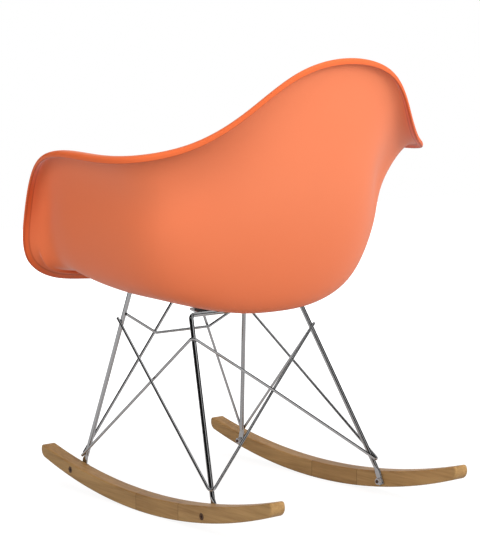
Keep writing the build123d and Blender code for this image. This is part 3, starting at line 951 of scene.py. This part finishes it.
@dataclass(frozen=True)
class Rockers:
    """Both wooden rockers, each of three glued lengths with its own tone and figure."""

    joints: Tuple[float, float] = (-31.2, 93.6)
    joint_z: float = 20.0
    lengths: Tuple[Tuple[str, Colour, Colour], ...] = (
        ("front", (0.435, 0.257, 0.101), (0.25, 0.137, 0.048)),
        ("middle", (0.43, 0.252, 0.098), (0.245, 0.132, 0.046)),
        ("rear", (0.45, 0.27, 0.108), (0.265, 0.145, 0.052)),
    )
    length_seed: float = 3.7
    side_seed: float = 17.1

    def dress(self) -> None:
        """Puts a wood finish on each length."""
        spots = REST.apply(np.array([[0.0, y, self.joint_z] for y in self.joints]))
        planes = tuple(float(REST.along(y, z)) for _, y, z in spots)
        for side_index, side in enumerate(("left", "right")):
            for index, (place, light, dark) in enumerate(self.lengths):
                name = f"{side}_rocker_{place}"
                seed = self.length_seed * index + self.side_seed * side_index
                finish = LacqueredWood(f"wood_{name}", light, dark, seed, planes)
                DressedNodes(Slot.WOOD, (name,), finish).dress()


@dataclass(frozen=True)
class SoftBox:
    """One square area light that reflections don't show."""

    name: str
    place: Tuple[float, float, float]
    aim: Tuple[float, float, float]
    size: float
    watts: float

    def build(self) -> bpy.types.Object:
        """Makes the light.

        Returns:
            The light object.
        """
        data = bpy.data.lights.new(self.name, "AREA")
        data.size = self.size
        data.energy = self.watts
        lamp = bpy.data.objects.new(self.name, data)
        lamp.location = self.place
        lamp.rotation_euler = (Vector(self.aim) - Vector(self.place)).to_track_quat("-Z", "Y").to_euler()
        lamp.visible_glossy = False
        bpy.context.scene.collection.objects.link(lamp)
        return lamp


@dataclass(frozen=True)
class BlackScreen:
    """A domed black screen that only reflections see, which draws the dark cores on the chrome.

    Points c + r (cos e cos a, cos e sin a, sin e) run over the azimuth a and the elevation e.
    """

    name: str
    azimuth_deg: Tuple[float, float]
    elevation_deg: Tuple[float, float]
    radius: float = 4.0
    centre_z: float = 0.25
    columns: int = 33
    rows: int = 17
    black: float = 0.01
    roughness: float = 0.9

    def build(self) -> bpy.types.Object:
        """Makes the screen.

        Returns:
            The screen object.
        """
        turn = np.radians(np.linspace(*self.azimuth_deg, self.columns))[None, :]
        rise = np.radians(np.linspace(*self.elevation_deg, self.rows))[:, None]
        flat = np.cos(rise)
        grid = np.stack([flat * np.cos(turn), flat * np.sin(turn), np.sin(rise) + 0.0 * turn], axis=-1)
        points = (grid * self.radius + [0.0, 0.0, self.centre_z]).reshape(-1, 3)
        index = np.arange(self.rows * self.columns).reshape(self.rows, self.columns)
        quads = np.stack([index[:-1, 1:], index[:-1, :-1], index[1:, :-1], index[1:, 1:]], axis=-1)
        screen = make_mesh(self.name, points, quads.reshape(-1, 4))
        colour = (self.black, self.black, self.black, 1.0)
        cloth = Graph(f"{self.name}_cloth").surface({"Base Color": colour, "Roughness": self.roughness}, {})
        screen.data.materials.append(cloth)
        screen.visible_camera = False
        screen.visible_diffuse = False
        screen.visible_shadow = False
        return screen


@dataclass
class Studio:
    """White room, soft lights and the photo's camera."""

    eye: Tuple[float, float, float] = (1.74543, 2.39486, 0.68123)
    right: Tuple[float, float, float] = (-0.805183, 0.592337, -0.028585)
    up: Tuple[float, float, float] = (-0.082187, -0.063723, 0.994578)
    lens: float = 131.163
    sensor: float = 36.0
    shift: Tuple[float, float] = (-0.0014, -0.0004)
    sight: float = 60.0
    floor_half: float = 6.0
    surround: float = 1.0
    ambient: float = 0.15
    paper: float = 0.5
    plain: float = 1.5
    pool: float = 0.4
    pool_edges: Tuple[float, float] = (0.35, 1.1)
    mirror_share: float = 0.3
    boxes: Tuple[SoftBox, ...] = (
        SoftBox("key", (-0.9, 3.0, 2.3), (0.0, 0.0, 0.5), 2.4, 69.0),
        SoftBox("fill", (5.0, 1.06, 1.67), (0.0, 0.0, 0.3), 3.0, 112.0),
        SoftBox("top", (0.0, 0.2, 3.2), (0.0, 0.0, 0.4), 2.4, 33.0),
        SoftBox("side", (-2.8, 1.8, 0.9), (0.0, 0.0, 0.4), 2.0, 38.0),
        SoftBox("rear", (0.9, 3.3, 1.5), (0.0, 0.0, 0.4), 2.0, 45.0),
        SoftBox("front", (0.0, -2.4, 2.4), (0.0, 0.0, 0.4), 2.0, 12.0),
    )
    screens: Tuple[BlackScreen, ...] = (
        BlackScreen("screen_front", (-60.0, -8.0), (2.0, 80.0)),
        BlackScreen("screen_slot_low", (-8.0, 6.0), (2.0, 39.0)),
        BlackScreen("screen_slot_high", (-8.0, 6.0), (51.0, 80.0)),
        BlackScreen("screen_near", (6.0, 40.0), (2.0, 80.0)),
        BlackScreen("screen_eye_low", (40.0, 52.0), (2.0, 15.0)),
        BlackScreen("screen_eye_high", (40.0, 52.0), (31.0, 80.0)),
        BlackScreen("screen_back", (52.0, 86.0), (2.0, 80.0)),
        BlackScreen("screen_high", (104.0, 150.0), (45.0, 80.0)),
        BlackScreen("screen_right", (110.0, 214.0), (2.0, 36.0)),
        BlackScreen("screen_far", (214.0, 254.0), (26.0, 80.0)),
        BlackScreen("screen_left", (254.0, 300.0), (2.0, 80.0)),
    )

    def camera(self) -> bpy.types.Object:
        """Makes the camera from its eye point and its right and up directions.

        Returns:
            The camera object.
        """
        data = bpy.data.cameras.new("camera")
        data.sensor_fit = "HORIZONTAL"
        data.sensor_width = self.sensor
        data.lens = self.lens
        data.shift_x, data.shift_y = self.shift
        data.clip_end = self.sight
        right, up = Vector(self.right), Vector(self.up)
        turn = Matrix((right, up, right.cross(up))).transposed().to_4x4()
        camera = bpy.data.objects.new("camera", data)
        camera.matrix_world = Matrix.Translation(self.eye) @ turn
        bpy.context.scene.collection.objects.link(camera)
        bpy.context.scene.camera = camera
        return camera

    def floor(self) -> bpy.types.Object:
        """Makes the white floor: plain white to the camera but for a faint shadow under the chair.

        The camera sees plain white, with a share of the lit paper in a pool that fades out with the
        distance sqrt(x^2 + y^2) from the chair. Reflections see a part of the white.

        Returns:
            The floor object.
        """
        h = self.floor_half
        plan = np.array([[-h, -h, 0.0], [h, -h, 0.0], [h, h, 0.0], [-h, h, 0.0]])
        made = make_mesh("floor", plan, np.array([[0, 1, 2, 3]]))
        g = Graph("floor_white")
        x, y, _ = g.axes()
        away = ((x * x + y * y) ** 0.5).ramp(*self.pool_edges)
        seen = g.node("ShaderNodeLightPath", output="Is Camera Ray")
        mirrored = g.node("ShaderNodeLightPath", output="Is Glossy Ray")
        share = seen * (1.0 - self.pool * (1.0 - away)) + mirrored * self.mirror_share
        paper = g.node("ShaderNodeBsdfDiffuse", inputs={"Color": (self.paper, self.paper, self.paper, 1.0)})
        plain = g.node("ShaderNodeEmission", inputs={"Color": (1.0, 1.0, 1.0, 1.0), "Strength": self.plain})
        mixed = g.node("ShaderNodeMixShader", inputs={0: share, 1: paper, 2: plain})
        made.data.materials.append(g.close(mixed))
        return made

    def world(self) -> None:
        """Sets the surround: full white to the camera and in reflections, softer as a light."""
        world = bpy.data.worlds.new("white_room")
        world.use_nodes = True
        tree = world.node_tree
        tree.nodes.clear()
        path = tree.nodes.new("ShaderNodeLightPath")
        out = tree.nodes.new("ShaderNodeOutputWorld")
        shown = None
        shades = ((None, self.ambient), ("Is Glossy Ray", self.surround), ("Is Camera Ray", self.surround))
        for ray, strength in shades:
            glow = tree.nodes.new("ShaderNodeBackground")
            glow.inputs["Color"].default_value = (1.0, 1.0, 1.0, 1.0)
            glow.inputs["Strength"].default_value = strength
            if ray is None:
                shown = glow.outputs[0]
                continue
            mix = tree.nodes.new("ShaderNodeMixShader")
            tree.links.new(path.outputs[ray], mix.inputs[0])
            tree.links.new(shown, mix.inputs[1])
            tree.links.new(glow.outputs[0], mix.inputs[2])
            shown = mix.outputs[0]
        tree.links.new(shown, out.inputs["Surface"])
        bpy.context.scene.world = world

    def build(self) -> None:
        """Makes the whole studio."""
        self.camera()
        self.floor()
        self.world()
        for part in (*self.boxes, *self.screens):
            part.build()
        bpy.context.scene.view_settings.view_transform = "Standard"


PLACES = ("left_front", "right_front", "left_rear", "right_rear")
ORANGE = SatinPlastic(
    "orange_plastic",
    base=(0.83, 0.193, 0.075),
    # paler tone for the painted sheen and the random cloud
    tone_and_sheen=(0.835, 0.23, 0.107),
    # painted light through the thin rim
    rich=(0.78, 0.135, 0.034),
    # painted shade under the lip
    lip_shade_colour=(0.52, 0.085, 0.024),
)
CHROME = PolishedMetal("chrome_wire", (0.43, 0.43, 0.435), (0.38, 0.38, 0.385), 0.07)
PLATE = PolishedMetal("plate_chrome", (0.6, 0.6, 0.62), (0.5, 0.5, 0.52), 0.2, metallic=0.5)
ZINC = PolishedMetal("zinc_steel", (0.5, 0.5, 0.51), (0.4, 0.4, 0.41), 0.28, 0.06, 0.6)
# Rocker bolt heads painted dark brown: painted shade of the counterbores they sit in
RECESS_SHADE = PolishedMetal("bolt_painted_shade", (0.11, 0.06, 0.035), (0.07, 0.04, 0.025), 0.4, 0.08)
RUBBER = BlackRubber("mount_rubber", (0.06, 0.06, 0.061), (0.1, 0.1, 0.102))
BASE = (
    DressedNodes(
        Slot.WIRE,
        ("front_leg_frame", "rear_leg_frame", "left_wrap_brace", "right_wrap_brace",
         "front_apex_brace", "front_bridge_brace"),
        CHROME,
    ),
    DressedNodes(Slot.PLATE, tuple(f"{place}_mount_plate" for place in PLACES), PLATE),
    DressedNodes(Slot.RUBBER, tuple(f"{place}_rubber_mount" for place in PLACES), RUBBER),
    DressedNodes(
        Slot.FASTENER,
        ("mount_inserts", "mount_washers", "mount_screws", "rocker_washers", "rocker_nuts"),
        ZINC,
    ),
    DressedNodes(Slot.FASTENER, ("rocker_bolts",), RECESS_SHADE),
)


def main() -> None:
    """Builds the chair's looks and the studio in order."""
    logging.basicConfig(level=logging.INFO)
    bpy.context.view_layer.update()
    SeatShell().build(ORANGE)
    for pieces in (Rockers(), *BASE):
        pieces.dress()
    Studio().build()


if __name__ == "__main__":
    main()
